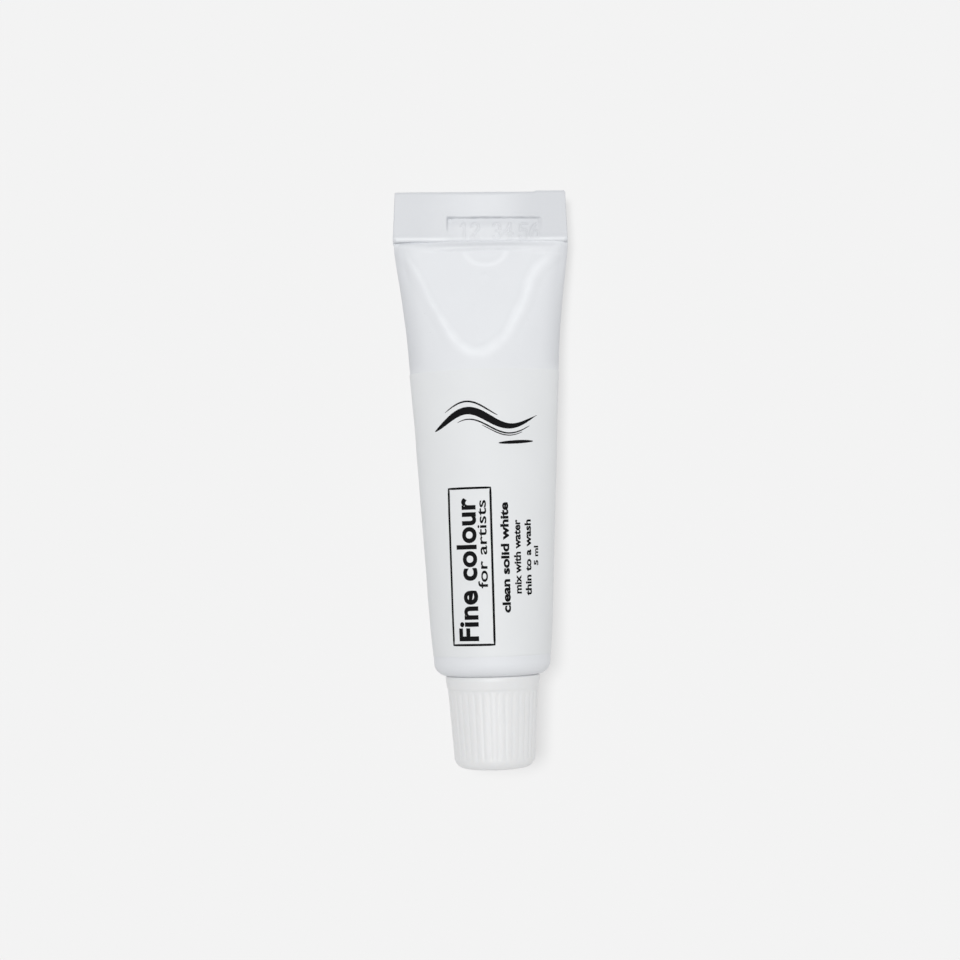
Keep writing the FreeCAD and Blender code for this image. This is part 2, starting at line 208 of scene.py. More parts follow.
def sleeve_xt(u, s, offset=0.0, detail=True):
    """Outer skin of the sleeve at eccentric angle u and distance s."""
    a = half_w(s) + offset
    bf, bb = front_b(s) + offset, back_b(s) + offset
    x = a * np.cos(u)
    sn = np.sin(u)
    # a narrow flat along the back, where the tube has lain
    flat = 0.14 * smooth(0.9, 2.8, s) * (1 - smooth(36.0, 41.0, s))
    t = np.where(sn >= 0, bf * sn, np.maximum((bb + flat) * sn, -bb))
    if not detail:
        return x, t
    up = smooth(33.5, 34.3, s)
    if np.any(up > 0):
        # front tongue: a sunk flat inside a broad rounded rim
        d = tongue_depth(x, s, TONGUE_LINE)
        f = facet(s, 4.50, 1.00) + offset
        f = f - 0.05 * np.clip((d - 1.0) / 3.5, 0, 1)
        side = smooth(-6.5, -2.0, x)
        tip = np.exp(-(((s - 34.9) / 1.9) ** 2))
        mid = 0.40 + 0.22 * side
        wide = 0.34 + 0.16 * side + 0.10 * tip
        inward = smooth(-0.25, 1.15 + 0.55 * side, d)
        fade = up * (1 - smooth(47.5, 48.2, s))
        front = sn > 0.02
        rim = (0.080 + 0.012 * side - 0.035 * tip) * np.exp(-((d - mid) / wide) ** 2) * (1 - smooth(45.8, 47.6, s) * 0.7)
        rim = rim * (1 + 0.18 * noise(x * 0.9, s * 0.9))
        valley2 = -0.045 * np.exp(-((d + 0.72) / 0.45) ** 2) * (1 - tip)
        tf = t + fade * (inward * (np.minimum(f, t) - t) + rim + valley2)
        t = np.where(front, tf, t)
        # a plainer facet on the back
        db = tongue_depth(-x, s, TONGUE_LINE)
        fb = -(facet(s, 4.50, 0.84) + offset)
        inb = smooth(0.0, 1.4, db)
        tb = t + up * (1 - smooth(47.6, 48.3, s)) * (
            inb * (np.maximum(fb, t) - t) - 0.05 * np.exp(-((db - 0.2) / 0.45) ** 2))
        t = np.where(sn < -0.02, tb, t)
        # dimple with a turned-up lower lip, and pips below the fold
        g = smooth(0.0, 0.3, sn)
        e = np.hypot((x - 0.50) / 2.40, (s - 47.75) / 1.80)
        t = t - g * 0.16 * (1 - smooth(0.25, 0.95, e)) * (1 - smooth(47.9, 48.5, s) * 0.5)
        t = t + g * 0.070 * np.exp(-((e - 1.0) / 0.17) ** 2) * (1 - smooth(47.3, 47.9, s))
        # the walls meet the fold almost level with its face
        shelf = 0.70 + 0.27 * (48.72 - s) - 1.2 * np.clip(s - 48.74, 0, 1)
        shelf = shelf * (1 - np.clip(np.abs(x) / (half_w(s) + 0.02), 0, 1) ** 16) * smooth(0.0, 0.06, sn)
        k = 0.06
        soft = 0.5 * (t + shelf + np.sqrt((t - shelf) ** 2 + k * k)) - 0.5 * k
        t = np.where(sn > 0.0, t + (soft - t) * smooth(45.6, 47.9, s), t)
        t = t + g * 0.075 * np.exp(-(((x - 0.38) / 0.44) ** 2 + ((s - 44.70) / 0.36) ** 2))
        t = t - g * 0.040 * np.exp(-((x - 0.45) ** 2 + (s - 43.80) ** 2) / 0.30 ** 2)
        t = t - g * 0.040 * np.exp(-((x + 0.35) ** 2 + (s - 36.5) ** 2) / 0.30 ** 2)
        # faint creases running out from the fold's corners
        for cx0, cs0, cx1, cs1, dep in ((-9.3, 48.0, -8.0, 40.8, 0.06), (9.5, 47.9, 8.4, 40.6, 0.06),
                                        (-6.6, 48.0, -5.2, 44.4, 0.025), (6.2, 48.0, 4.9, 44.8, 0.025)):
            lx, ls = cx1 - cx0, cs1 - cs0
            k = np.clip(((x - cx0) * lx + (s - cs0) * ls) / (lx * lx + ls * ls), 0, 1)
            q = np.hypot(x - cx0 - k * lx, s - cs0 - k * ls)
            t = t - g * dep * np.exp(-(q / 0.30) ** 2) * (1 - k) ** 0.7 * (1 - smooth(48.0, 48.5, s))
    # soft handling dents, fading out at the shoulder
    amp = 0.030 * smooth(1.0, 6.0, s) * (1 - smooth(46.5, 48.3, s))
    w = noise(u * 14 / (2 * math.pi), s / 5.3, 14) + 0.5 * noise(u * 26 / (2 * math.pi) + 3, s / 2.4 + 9, 26)
    low = sn < -0.90
    amp = np.where(low, 0.0, amp)
    r = 1 + amp * w / np.maximum(half_w(s), 1)
    return x * r, t * r


def grid_mesh(name, P, wrap=True, cap_start=True, cap_end=True, flip=False):
    """Closed mesh from rings: P is rows x columns x 3 in world metres."""
    n, m = P.shape[:2]
    verts = P.reshape(-1, 3)
    idx = np.arange(n * m).reshape(n, m)
    a = idx[:-1]
    b = idx[1:]
    a2, b2 = np.roll(a, -1, 1), np.roll(b, -1, 1)
    quads = np.stack([a, a2, b2, b], -1).reshape(-1, 4)
    faces = [tuple(int(i) for i in q) for q in (quads[:, ::-1] if flip else quads)]
    extra = []
    for row, on, rev in ((0, cap_start, True), (n - 1, cap_end, False)):
        if on:
            c = len(verts) + len(extra)
            extra.append(P[row].mean(0))
            ring = idx[row]
            for i in range(m):
                tri = (c, int(ring[i]), int(ring[(i + 1) % m]))
                rv = rev ^ flip
                faces.append((tri[0], tri[2], tri[1]) if rv else tri)
    if extra:
        verts = np.vstack([verts, np.array(extra)])
    me = bpy.data.meshes.new(name)
    me.from_pydata(verts.tolist(), [], faces)
    me.validate()
    me.update()
    ob = bpy.data.objects.new(name, me)
    bpy.context.scene.collection.objects.link(ob)
    return ob


def tidy(ob, smooth_shade=True, outward=True, angle=None):
    bm = bmesh.new()
    bm.from_mesh(ob.data)
    if outward:
        bmesh.ops.recalc_face_normals(bm, faces=bm.faces)
        if bm.calc_volume(signed=True) < 0:
            bmesh.ops.reverse_faces(bm, faces=bm.faces)
    for f in bm.faces:
        f.smooth = smooth_shade
    if angle is not None:
        for e in bm.edges:
            if len(e.link_faces) == 2 and e.calc_face_angle(0) > angle:
                e.smooth = False
    bm.to_mesh(ob.data)
    bm.free()
    ob.data.update()
    return ob


def join(name, parts):
    """One mesh object from several."""
    bm = bmesh.new()
    for p in parts:
        bm.from_mesh(p.data)
    me = bpy.data.meshes.new(name)
    bm.to_mesh(me)
    bm.free()
    for p in parts:
        bpy.data.objects.remove(p)
    ob = bpy.data.objects.new(name, me)
    bpy.context.scene.collection.objects.link(ob)
    return ob


def union(a, b):
    mod = a.modifiers.new("join", "BOOLEAN")
    mod.operation = "UNION"
    mod.object = b
    mod.solver = "MANIFOLD"
    deps = bpy.context.evaluated_depsgraph_get()
    me = bpy.data.meshes.new_from_object(a.evaluated_get(deps))
    a.modifiers.clear()
    ok = len(me.vertices) > 1000
    if ok:
        a.data = me
        bpy.data.objects.remove(b)
    return ok


def thread(s, u, start, length, half_root, half_crest, ramp=0.18):
    """0..1 height of a right-hand helical ridge, faded at both ends."""
    phi = math.pi / 2 - u
    k = (s - start) / PITCH - phi / (2 * math.pi)
    near = k - np.round(k)
    centre = s - near * PITCH
    h = np.clip((half_root - np.abs(near) * PITCH) / (half_root - half_crest), 0, 1)
    h = h * h * (3 - 2 * h)
    return h * smooth(start - ramp, start + ramp, centre) * (1 - smooth(start + length - ramp, start + length + ramp, centre))


# ------------------------------------------------------ tube body mesh
COLS = 480
U = np.linspace(0, 2 * math.pi, COLS, endpoint=False)
rows = []
# outside: closed end, tongue, label length
for s in np.concatenate([
        np.arange(49.10, 34.0, -0.10), np.arange(34.0, 1.2, -0.8), np.arange(1.2, 0.55, -0.1)]):
    sv = np.full(COLS, s)
    x, t = sleeve_xt(U, sv)
    rows.append(world(x, sv, t))
# outside: shoulder, nozzle and its thread, as (s, radius)
shoulder = [(0.53, 6.75), (0.30, 6.746), (0.03, 6.742)]
for ang in np.linspace(0, 76.3, 20):
    a = math.radians(ang)
    shoulder.append((-0.222 - 1.5 * math.sin(a), 5.24 + 1.5 * math.cos(a)))
last_s, last_r = shoulder[-1]
for k in np.linspace(0, 1, 13)[1:]:
    shoulder.append((last_s + k * (-2.05 - last_s), last_r + k * (3.45 - last_r)))
shoulder += [(-2.13, 3.22), (-2.22, 3.10), (-2.32, 3.05)]
for s in np.arange(-2.4, -9.56, -0.055):
    shoulder.append((s, 3.05))
shoulder += [(-9.66, 3.01), (-9.76, 2.93), (-9.84, 2.82), (-9.89, 2.66), (-9.90, 2.50),
             (-9.90, 2.10), (-9.90, 1.78), (-9.87, 1.68), (-9.80, 1.62), (-9.70, 1.60)]
for s in np.arange(-9.2, -2.1, 0.5):
    shoulder.append((s, 1.60))
shoulder += [(-1.88, 1.62), (-1.70, 1.75), (-1.58, 2.2), (-1.34, 3.6), (-1.10, 5.0),
             (-0.92, 5.75), (-0.50, 6.25), (0.0, 6.50), (0.90, 6.62)]
for i, (s, rad) in enumerate(shoulder):
    sv = np.full(COLS, s)
    outside = 3.0 < rad < 3.2 and s < -2.0
    rr = np.full(COLS, rad)
    if outside:
        rr = rad + (3.50 - rad) * thread(sv, U, -9.0, 5.6, 0.30, 0.12)
    rows.append(world(rr * np.cos(U), sv, rr * np.sin(U)))
# inside of the sleeve up to where the walls meet
for s in np.concatenate([np.arange(2.0, 34.0, 1.6), np.arange(34.0, 48.5, 0.5)]):
    sv = np.full(COLS, s)
    x, t = sleeve_xt(U, sv, offset=-0.12)
    rows.append(world(x, sv, t))
tube = grid_mesh("tube_shell", np.array(rows))
tidy(tube)

# --------------------------------------------------------- folded end
PITCH_L, HALF = 0.33, 0.15
MID = 0.5 * (49.00 + 54.65)
SKEW = math.radians(-1.2)


def seg_dist(x, s, pts):
    best = np.full(x.shape, 1e9)
    for (x0, y0), (x1, y1) in zip(pts[:-1], pts[1:]):
        dx, dy = x1 - x0, y1 - y0
        k = np.clip(((x - x0) * dx + (s - y0) * dy) / max(dx * dx + dy * dy, 1e-9), 0, 1)
        best = np.minimum(best, np.hypot(x - x0 - k * dx, s - y0 - k * dy))
    return best


def ring_pts(cx, cy, rx, ry, a0, a1, n=14):
    return [(cx + rx * math.cos(math.radians(a0 + (a1 - a0) * i / n)),
             cy + ry * math.sin(math.radians(a0 + (a1 - a0) * i / n))) for i in range(n + 1)]


# plain placeholder numerals in a 1 x 1.8 box
NUMERALS = {
    "1": [[(0.22, 1.42), (0.55, 1.80), (0.55, 0.0)]],
    "2": [ring_pts(0.5, 1.33, 0.44, 0.45, 165, -35) + [(0.06, 0.02), (0.96, 0.02)]],
    "3": [ring_pts(0.46, 1.36, 0.40, 0.42, 150, -90), ring_pts(0.46, 0.46, 0.46, 0.48, 90, -150)],
    "4": [[(0.74, 0.0), (0.74, 1.80), (0.04, 0.58), (1.00, 0.58)]],
    "5": [[(0.90, 1.78), (0.18, 1.78), (0.12, 1.00)] + ring_pts(0.46, 0.56, 0.48, 0.56, 110, -150)],
    "6": [ring_pts(0.5, 0.52, 0.44, 0.52, 0, 360), ring_pts(0.98, 0.62, 0.92, 1.20, 178, 108)],
}


def emboss(x, s):
    """Height of the stamped window and its numerals over the fold's front."""
    edge_top = 51.74 - 0.008 * (x + 4.0) + 0.035 * noise(x * 1.7, x * 0 + 4)
    in_top = 1 - smooth(edge_top - 0.14, edge_top + 0.08, s)
    in_left = smooth(-4.02, -3.72, x)
    in_right = 1 - smooth(6.60, 7.40, x)
    down = 0.10 + 0.90 * smooth(49.5, 51.5, s)
    win = in_top * in_left * in_right * down
    bite = 1 + 0.35 * np.exp(-((x + 3.5) / 0.5) ** 2) + 0.25 * np.exp(-((x - 1.9) / 0.8) ** 2) + 0.12 * noise(x * 1.3, x * 0 + 9)
    hgt = -0.29 * win * bite
    # lip of metal pushed up round the window
    hgt = hgt + 0.050 * np.exp(-((s - edge_top - 0.26) / 0.16) ** 2) * smooth(-4.5, -4.0, x) * (1 - smooth(6.9, 7.5, x))
    hgt = hgt + 0.025 * np.exp(-((x + 4.25) / 0.12) ** 2) * smooth(49.8, 50.6, s) * (1 - smooth(52.2, 52.6, s))
    d = np.full(x.shape, 1e9)
    for text, x0 in (("12", -2.45), ("34", 1.45), ("56", 4.55)):
        for i, ch in enumerate(text):
            ox = x0 + i * 1.30
            for stroke in NUMERALS[ch]:
                pts = [(ox + 0.02 + px * 1.02, 49.16 + py * 1.02 - 0.012 * ox) for px, py in stroke]
                box = (x > ox - 0.5) & (x < ox + 1.6)
                if np.any(box):
                    d[box] = np.minimum(d[box], seg_dist(x[box], s[box], pts))
    hgt = hgt + 0.150 * np.exp(-(d / 0.15) ** 2)
    return hgt


def fold_path(x):
    """Centre line of the folded strip at one x: (s, t, nx_s, nx_t, part)."""
    top = 54.65 + 0.13 * smooth(6.45, 6.75, x) + 0.015 * noise(x * 0.8, 3.3) - PITCH_L
    low = 49.00 + 0.035 * noise(x * 0.55, 8.1) + 0.018 * noise(x * 1.9, 5.5) + 0.5 * PITCH_L
    raw = 54.03
    pts = []
    for s in np.linspace(48.6, top, 36):
        pts.append((s, 0.0, 0.0, -1.0, 0))
    for a in np.linspace(-90, 90, 14)[1:-1]:
        r = math.radians(a)
        pts.append((top + PITCH_L * math.cos(r), PITCH_L + PITCH_L * math.sin(r), math.cos(r), math.sin(r), 1))
    for s in np.linspace(top, low, 92):
        pts.append((s, 2 * PITCH_L, 0.0, 1.0, 2))
    for a in np.linspace(90, 270, 16)[1:-1]:
        r = math.radians(a)
        q = 0.5 * PITCH_L
        pts.append((low + q * math.cos(r), 1.5 * PITCH_L + q * math.sin(r), math.cos(r), math.sin(r), 3))
    for s in np.linspace(low, raw, 18):
        pts.append((s, PITCH_L, 0.0, -1.0, 4))
    return np.array(pts)


def fold_strip(name, half, half_width, count, detail=True, first=0, last=None, trim=0.0):
    xs = np.linspace(-1, 1, count)
    # rounded side edges: the strip thins over its last quarter millimetre
    rings = []
    for q in xs:
        x = q * half_width
        path = fold_path(np.array(x))[first:last]
        s, t, ns, nt, part = path.T
        taper = np.sqrt(np.clip(1 - np.clip((abs(x) - (half_width - half)) / half, 0, 1) ** 2, 0.04, 1)) if detail else 1.0
        xx = x * (1 - 0.0042 * (s - 49.3)) * np.ones_like(s)
        h1 = half * taper * np.ones_like(s)
        if detail:
            front = part == 2
            # the fold's lower edge is a rounded bead
            low = s[part == 2][-1]
            bead = (0.095 - 0.030 * smooth(-4.2, -3.2, x) * (1 - smooth(5.5, 7.0, x))) * np.exp(-((s - low - 0.02) / 0.30) ** 2)
            h1 = h1 + np.where(part >= 2, np.where(part == 4, 0, bead), 0)
            # pressed in just above the bead
            h1 = h1 - np.where(front, 0.030 * np.exp(-((s - low - 0.75) / 0.35) ** 2), 0)
            back = part == 0
            ripple = 0.016 * noise(xx * 0.7, s * 0.9) + 0.007 * noise(xx * 2.3, s * 2.1)
            h1 = h1 + np.where(front | back, ripple, 0)
        h2 = half * taper * np.ones_like(s)
        outer = np.stack([xx, s + ns * h1, t + nt * h1], 1)
        inner = np.stack([xx, s - ns * h2, t - nt * h2], 1)
        rings.append(np.vstack([outer, inner[::-1]]))
    R = np.array(rings)                       # count x 2N x 3 in (x, s, t)
    # the stamp squeezes every layer, most at the front, a little at the back
    lift = emboss(R[..., 0], R[..., 1]) * smooth(48.9, 49.5, R[..., 1]) * (1 - smooth(53.9, 54.3, R[..., 1]))
    deep = np.clip((R[..., 2] + 0.15) / 0.96, 0, 1)
    R[..., 2] = R[..., 2] + lift * (1.25 * deep - 0.25)
    dx, ds = R[..., 0], R[..., 1] - MID
    x = dx * math.cos(SKEW) - ds * math.sin(SKEW)
    s = dx * math.sin(SKEW) + ds * math.cos(SKEW) + MID
    P = world(x, s, R[..., 2])
    n, m = P.shape[:2]
    half_m = m // 2
    idx = np.arange(n * m).reshape(n, m)
    faces = []
    a, b = idx[:-1], idx[1:]
    a2, b2 = np.roll(a, -1, 1), np.roll(b, -1, 1)
    faces += [tuple(int(i) for i in q) for q in np.stack([a, b, b2, a2], -1).reshape(-1, 4)]
    for row, rev in ((0, False), (n - 1, True)):
        r = idx[row]
        for i in range(half_m - 1):
            q = (int(r[i]), int(r[i + 1]), int(r[m - 2 - i]), int(r[m - 1 - i]))
            faces.append(q[::-1] if rev else q)
    me = bpy.data.meshes.new(name)
    me.from_pydata(P.reshape(-1, 3).tolist(), [], faces)
    me.validate()
    ob = bpy.data.objects.new(name, me)
    bpy.context.scene.collection.objects.link(ob)
    return tidy(ob)


band = fold_strip("fold_band_part", HALF, 10.26, 402)
merged = union(tube, band)
if not merged:
    tube = join("tube_shell", [tube, band])
tidy(tube, outward=False)

sealant = fold_strip("fold_sealant_film", 0.02, 9.98, 402, detail=False, first=10, last=-1)

# ---------------------------------------------------------------- label
LABEL_LO, LABEL_HI = 0.58, 33.3
L_IN, L_OUT = 0.010, 0.072


def label_shell():
    cols = 432
    overlap = 2.3 / 45.0 * 2 * math.pi
    seam = math.radians(232)
    v = np.linspace(0, 1, cols)
    u = seam + v * (2 * math.pi + overlap)
    # the last stretch climbs over the first by one film thickness
    climb = 0.062 * smooth(1 - overlap / (2 * math.pi + overlap) - 0.012, 1 - overlap / (2 * math.pi + overlap) + 0.004, v)
    svals = np.concatenate([[LABEL_LO], np.arange(LABEL_LO + 0.06, LABEL_LO + 0.5, 0.1),
                            np.arange(LABEL_LO + 0.6, LABEL_HI - 0.5, 0.42),
                            np.arange(LABEL_HI - 0.45, LABEL_HI - 0.02, 0.1), [LABEL_HI]])
    edge = 0.020 * noise(v * 30, 2.0 * np.ones_like(v)) + 0.012 * noise(v * 71, 5.0 * np.ones_like(v))
    outer, inner = [], []
    for s0 in svals:
        k = (s0 - LABEL_LO) / (LABEL_HI - LABEL_LO)
        s = s0 + edge * ((1 - k) ** 8 + k ** 8)
        x, t = sleeve_xt(u, s, offset=0.0)
        xn, tn = x / half_w(s) ** 2, t / np.where(t >= 0, front_b(s), back_b(s)) ** 2
        ln = np.hypot(xn, tn)
        for off, dest in ((L_OUT, outer), (L_IN, inner)):
            o = off + climb
            if off == L_OUT:
                # film rolls down slightly at its cut edges
                o = o - 0.018 * (np.exp(-((s0 - LABEL_LO) / 0.07) ** 2) + np.exp(-((s0 - LABEL_HI) / 0.07) ** 2))
            dest.append(np.stack([x + xn / ln * o, s, t + tn / ln * o], 1))
    O, I = np.array(outer), np.array(inner)
    low = -back_b(O[..., 1]) - 0.074
    O[..., 2] = np.maximum(O[..., 2], low)
    n, m = O.shape[:2]
    PO, PI = world(*np.moveaxis(O, -1, 0)), world(*np.moveaxis(I, -1, 0))
    verts = np.vstack([PO.reshape(-1, 3), PI.reshape(-1, 3)])
    io = np.arange(n * m).reshape(n, m)
    ii = io + n * m
    f = []
    f += np.stack([io[:-1, :-1], io[:-1, 1:], io[1:, 1:], io[1:, :-1]], -1).reshape(-1, 4).tolist()
    f += np.stack([ii[:-1, :-1], ii[1:, :-1], ii[1:, 1:], ii[:-1, 1:]], -1).reshape(-1, 4).tolist()
    f += np.stack([io[0, :-1], ii[0, :-1], ii[0, 1:], io[0, 1:]], -1).tolist()
    f += np.stack([io[-1, :-1], io[-1, 1:], ii[-1, 1:], ii[-1, :-1]], -1).tolist()
    f += np.stack([io[:-1, 0], io[1:, 0], ii[1:, 0], ii[:-1, 0]], -1).tolist()
    f += np.stack([io[:-1, -1], ii[:-1, -1], ii[1:, -1], io[1:, -1]], -1).tolist()
    me = bpy.data.meshes.new("label_film")
    me.from_pydata(verts.tolist(), [], f)
    me.validate()
    ob = bpy.data.objects.new("label_film", me)
    bpy.context.scene.collection.objects.link(ob)
    return tidy(ob, angle=math.radians(50))


label = label_shell()

# ---------------------------------------------------------------- print
# Everything printed is drawn flat in (v, s): v is the distance round the
# sleeve from the middle of the front, and is then wrapped on to the label.


def unroll(v, s):
    """Eccentric angle u at wrapped distance v from the front centre."""
    a, b = half_w(s) + L_OUT, front_b(s) + L_OUT
    m, d = 0.5 * (a * a + b * b), 0.5 * (a * a - b * b)
    q = np.sqrt(m)

    def arc(phi):
        return q * (phi + d / (4 * m) * np.sin(2 * phi)
                    - d * d / (16 * m * m) * (phi + np.sin(4 * phi) / 4))
    phi = np.array(v, float) / q
    for _ in range(5):
        g = np.sqrt(np.maximum((a * np.cos(phi)) ** 2 + (b * np.sin(phi)) ** 2, 1e-6))
        phi = phi - (arc(phi) - v) / g
    return math.pi / 2 - phi


def wrap_v(x, s):
    """Wrapped distance of a point seen at x from straight above."""
    a, b = float(half_w(s)) + L_OUT, float(front_b(s)) + L_OUT
    phi = math.asin(max(-0.999, min(0.999, x / a)))
    n = 40
    p = (np.arange(n) + 0.5) / n * phi
    return float(np.sqrt((a * np.cos(p)) ** 2 + (b * np.sin(p)) ** 2).mean() * phi)


def on_label(v, s, lift):
    u = unroll(v, s)
    x, t = sleeve_xt(u, s)
    xn, tn = x / half_w(s) ** 2, t / np.where(t >= 0, front_b(s), back_b(s)) ** 2
    ln = np.hypot(xn, tn)
    o = L_OUT + lift
    return world(x + xn / ln * o, s, t + tn / ln * o)


INK_LO, INK_HI = -0.012, 0.011


def ink_from_flat(bm):
    """Wrap a flat bmesh (x = v, y = s, in mm) on to the label as a thin solid."""
    bmesh.ops.remove_doubles(bm, verts=bm.verts, dist=1e-4)
    xs = [v.co.x for v in bm.verts]
    ys = [v.co.y for v in bm.verts]
    for c in np.arange(math.floor(min(xs) / 0.4) * 0.4 + 0.4, max(xs), 0.4):
        bmesh.ops.bisect_plane(bm, geom=bm.verts[:] + bm.edges[:] + bm.faces[:],
                               plane_co=(c, 0, 0), plane_no=(1, 0, 0), dist=1e-6)
    for c in np.arange(math.floor(min(ys) / 1.5) * 1.5 + 1.5, max(ys), 1.5):
        bmesh.ops.bisect_plane(bm, geom=bm.verts[:] + bm.edges[:] + bm.faces[:],
                               plane_co=(0, c, 0), plane_no=(0, 1, 0), dist=1e-6)
    bm.verts.ensure_lookup_table()
    flat = np.array([(v.co.x, v.co.y) for v in bm.verts])
    faces = []
    for f in bm.faces:
        ids = [v.index for v in f.verts]
        area = sum(flat[ids[i]][0] * flat[ids[(i + 1) % len(ids)]][1]
                   - flat[ids[(i + 1) % len(ids)]][0] * flat[ids[i]][1] for i in range(len(ids)))
        if abs(area) < 1e-9:
            continue
        faces.append(ids if area > 0 else ids[::-1])
    edges = {}
    for ids in faces:
        for i in range(len(ids)):
            e = (ids[i], ids[(i + 1) % len(ids)])
            edges[e] = edges.get(e, 0) + 1
    n = len(flat)
    top = on_label(flat[:, 0], flat[:, 1], INK_HI)
    low = on_label(flat[:, 0], flat[:, 1], INK_LO)
    out = [list(ids) for ids in faces] + [[i + n for i in ids[::-1]] for ids in faces]
    for (i, j) in edges:
        if (j, i) not in edges:
            out.append([j, i, i + n, j + n])
    return np.vstack([top, low]), out


INK_V, INK_F = [], []


def add_ink(bm):
    v, f = ink_from_flat(bm)
    base = sum(len(q) for q in INK_V)
    INK_V.append(v)
    INK_F.extend([[i + base for i in ids] for ids in f])
    bm.free()


def ink_polygon(points):
    bm = bmesh.new()
    vs = [bm.verts.new((x, y, 0)) for x, y in points]
    bm.faces.new(vs)
    bmesh.ops.triangulate(bm, faces=bm.faces)
    add_ink(bm)


def ink_line(points, width, closed=False):
    """A stroke of even or varying width along a flat polyline."""
    p = np.array(points, float)
    w = np.broadcast_to(np.asarray(width, float), (len(p),))
    if closed:
        d = np.roll(p, -1, 0) - np.roll(p, 1, 0)
    else:
        d = np.gradient(p, axis=0)
    d /= np.maximum(np.hypot(d[:, 0], d[:, 1]), 1e-9)[:, None]
    nrm = np.stack([-d[:, 1], d[:, 0]], 1)
    a, b = p + nrm * w[:, None] / 2, p - nrm * w[:, None] / 2
    bm = bmesh.new()
    va = [bm.verts.new((x, y, 0)) for x, y in a]
    vb = [bm.verts.new((x, y, 0)) for x, y in b]
    n = len(p)
    for i in range(n if closed else n - 1):
        j = (i + 1) % n
        bm.faces.new((va[i], vb[i], vb[j], va[j]))
    add_ink(bm)


def ink_text(body, v_base, s_start, s_end, cap, weight=0.0, track=1.0):
    """Generic lettering that reads from the cap towards the fold."""
    cu = bpy.data.curves.new("lettering", "FONT")
    cu.body = body
    cu.size = 1.0
    cu.offset = weight
    cu.space_character = track
    cu.resolution_u = 5
    cu.fill_mode = "BOTH"
    ob = bpy.data.objects.new("lettering", cu)
    bpy.context.scene.collection.objects.link(ob)
    bpy.context.view_layer.update()
    deps = bpy.context.evaluated_depsgraph_get()
    me = bpy.data.meshes.new_from_object(ob.evaluated_get(deps))
    bpy.data.objects.remove(ob)
    bpy.data.curves.remove(cu)
    bm = bmesh.new()
    bm.from_mesh(me)
    bpy.data.meshes.remove(me)
    xs = [v.co.x for v in bm.verts]
    x0, x1 = min(xs), max(xs)
    ky = cap / 0.729
    kx = (s_end - s_start) / (x1 - x0)
    for v in bm.verts:
        along, up = (v.co.x - x0) * kx, v.co.y * ky
        v.co = (v_base - up, s_start + along, 0)
    add_ink(bm)


def V(x, s):
    return wrap_v(x, s)


# a plain brush stroke where a maker would print a name
def brush_stroke():
    n = 110
    k = np.linspace(0, 1, n)
    xs = -5.85 + 11.7 * k
    mid = 27.15 + 1.30 * np.sin((k * 1.15 - 0.12) * 2 * math.pi) * (1 - 0.35 * k) + 0.55 * k
    width = 1.10 * (np.sin(math.pi * np.clip(k * 1.02, 0, 1)) ** 0.55) * (1 - 0.45 * k)
    v = np.array([V(x, 27.0) for x in xs])
    ink_line(np.stack([v, mid], 1), np.maximum(width, 0.05))
    for off, a, b, w in ((1.22, 0.10, 0.62, 0.20), (-1.15, 0.22, 0.93, 0.18), (-1.50, 0.45, 0.86, 0.12)):
        sel = (k >= a) & (k <= b)
        ww = w * np.sin(math.pi * (k[sel] - a) / (b - a)) ** 0.4
        ink_line(np.stack([v[sel], mid[sel] + off * (1 - 0.4 * k[sel])], 1), np.maximum(ww, 0.02))


brush_stroke()
ink_line([(V(x, 24.6), 24.6 + 0.05 * x) for x in np.linspace(1.4, 5.3, 30)],
         0.40 * np.sin(math.pi * np.linspace(0.02, 0.98, 30)) ** 0.5)


# plain thin-line rectangle round the title
def panel():
    right, bottom, left, top = 0.28, 1.95, -4.60, 19.60
    pts = [(left, bottom), (right, bottom), (right, top), (left, top)]
    dense = []
    for (x0, y0), (x1, y1) in zip(pts, pts[1:] + pts[:1]):
        n = max(1, int(math.hypot(x1 - x0, y1 - y0) / 0.5))
        for i in range(n):
            dense.append((x0 + (x1 - x0) * i / n, y0 + (y1 - y0) * i / n))
    ink_line(dense, 0.25, closed=True)


panel()
ink_text("Fine colour", V(-1.54, 11.0), 2.38, 18.5, 2.32, weight=0.030, track=1.03)
ink_text("for artists", V(-0.30, 13.0), 8.25, 18.2, 1.10, weight=0.014)
ink_text("clean solid white", V(2.18, 11.7), 5.45, 17.9, 0.92, weight=0.040)
ink_text("mix with water", V(3.50, 11.7), 7.55, 15.9, 0.82, weight=0.034)
ink_text("thin to a wash", V(4.68, 11.7), 7.30, 15.9, 0.80, weight=0.034)
ink_text("5 ml", V(5.50, 11.7), 10.7, 12.9, 0.62, weight=0.032)

me = bpy.data.meshes.new("label_print")
me.from_pydata(np.vstack(INK_V).tolist(), [], INK_F)
me.validate()
print_ob = bpy.data.objects.new("label_print", me)
bpy.context.scene.collection.objects.link(print_ob)
tidy(print_ob, smooth_shade=False, outward=False)

# ---------------------------------------------------------------- paint
PC = 96
UP = np.linspace(0, 2 * math.pi, PC, endpoint=False)
prow = []
for s in np.concatenate([[47.0], np.arange(46.5, 2.0, -1.5)]):
    sv = np.full(PC, s)
    x, t = sleeve_xt(UP, sv, offset=-0.20)
    prow.append(world(x, sv, t))
for s, r in [(1.0, 6.42), (0.3, 6.38), (-0.10, 6.1), (-0.45, 5.6), (-0.72, 4.6), (-1.0, 3.2), (-1.2, 2.0),
             (-1.40, 1.6), (-1.8, 1.56), (-3.0, 1.56), (-5.0, 1.56), (-7.0, 1.56), (-8.6, 1.56), (-9.15, 1.56)]:
    sv = np.full(PC, s)
    prow.append(world(r * np.cos(UP), sv, r * np.sin(UP)))
